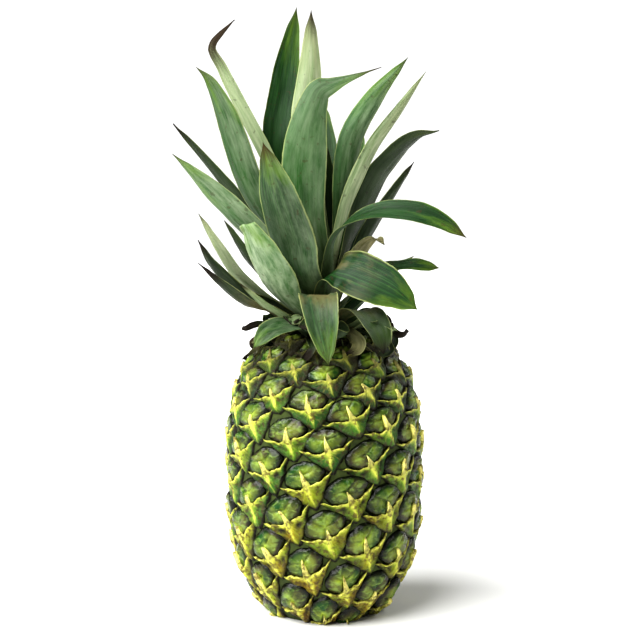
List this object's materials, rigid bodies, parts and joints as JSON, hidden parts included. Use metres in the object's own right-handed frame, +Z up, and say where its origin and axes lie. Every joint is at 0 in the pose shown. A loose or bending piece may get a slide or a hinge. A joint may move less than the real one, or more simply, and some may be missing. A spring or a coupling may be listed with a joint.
{
  "type": "pineapple",
  "caption": "Whole fresh pineapple standing on its cut base, a barrel of spiralled eyes under a spreading crown of channelled green leaves.",
  "frame": {"origin": "centre of the fruit's flat cut base, where it stands on the surface", "axes": "+Z up along the fruit's axis through the crown, -Y towards the side with the broad folded front leaf, +X to that side's right"},
  "size_m": [0.172, 0.125, 0.364],
  "materials": {
    "rind": "satin",
    "stem": "matte",
    "green_leaf": "satin",
    "pale_leaf": "satin",
    "dark_leaf": "satin",
    "dry_leaf": "matte"
  },
  "bodies": {
    "root": {"fruit": "rind", "crown_stem": "stem", "tall_back_leaf": "green_leaf", "pale_heart_leaf": "pale_leaf", "broad_heart_leaf": "pale_leaf", "front_left_leaf": "green_leaf", "upper_left_leaf": "green_leaf", "bent_tip_leaf": "pale_leaf", "hidden_left_leaf": "dark_leaf", "edge_left_leaf": "dark_leaf", "long_left_leaf": "green_leaf", "silver_left_leaf": "pale_leaf", "dark_left_leaf": "dark_leaf", "dry_left_leaf": "dark_leaf", "curled_left_leaf": "green_leaf", "shaded_left_leaf": "dark_leaf", "low_left_leaf": "pale_leaf", "drooping_left_leaf": "green_leaf", "folded_front_leaf": "green_leaf", "folded_right_leaf": "dark_leaf", "broad_right_leaf": "green_leaf", "short_right_leaf": "green_leaf", "arching_right_leaf": "green_leaf", "dark_right_leaf": "dark_leaf", "far_right_leaf": "dark_leaf", "twisted_right_leaf": "pale_leaf", "upper_right_leaf": "green_leaf", "olive_heart_leaf": "dark_leaf", "crumpled_right_leaf": "dry_leaf", "back_leaf_1": "green_leaf", "back_leaf_2": "green_leaf", "back_leaf_3": "green_leaf", "back_leaf_4": "green_leaf", "back_leaf_5": "green_leaf", "back_leaf_6": "green_leaf", "back_leaf_7": "green_leaf", "back_leaf_8": "green_leaf", "back_leaf_9": "green_leaf", "back_leaf_10": "green_leaf", "back_leaf_11": "green_leaf", "back_leaf_12": "green_leaf", "back_leaf_13": "green_leaf", "back_leaf_14": "green_leaf", "neck_bract_1": "dry_leaf", "neck_bract_2": "dry_leaf", "neck_bract_3": "dry_leaf", "neck_bract_4": "dry_leaf", "neck_bract_5": "dry_leaf", "neck_bract_6": "dry_leaf", "neck_bract_7": "dry_leaf", "neck_bract_8": "dry_leaf", "neck_bract_9": "dry_leaf"}
  },
  "joints": []
}
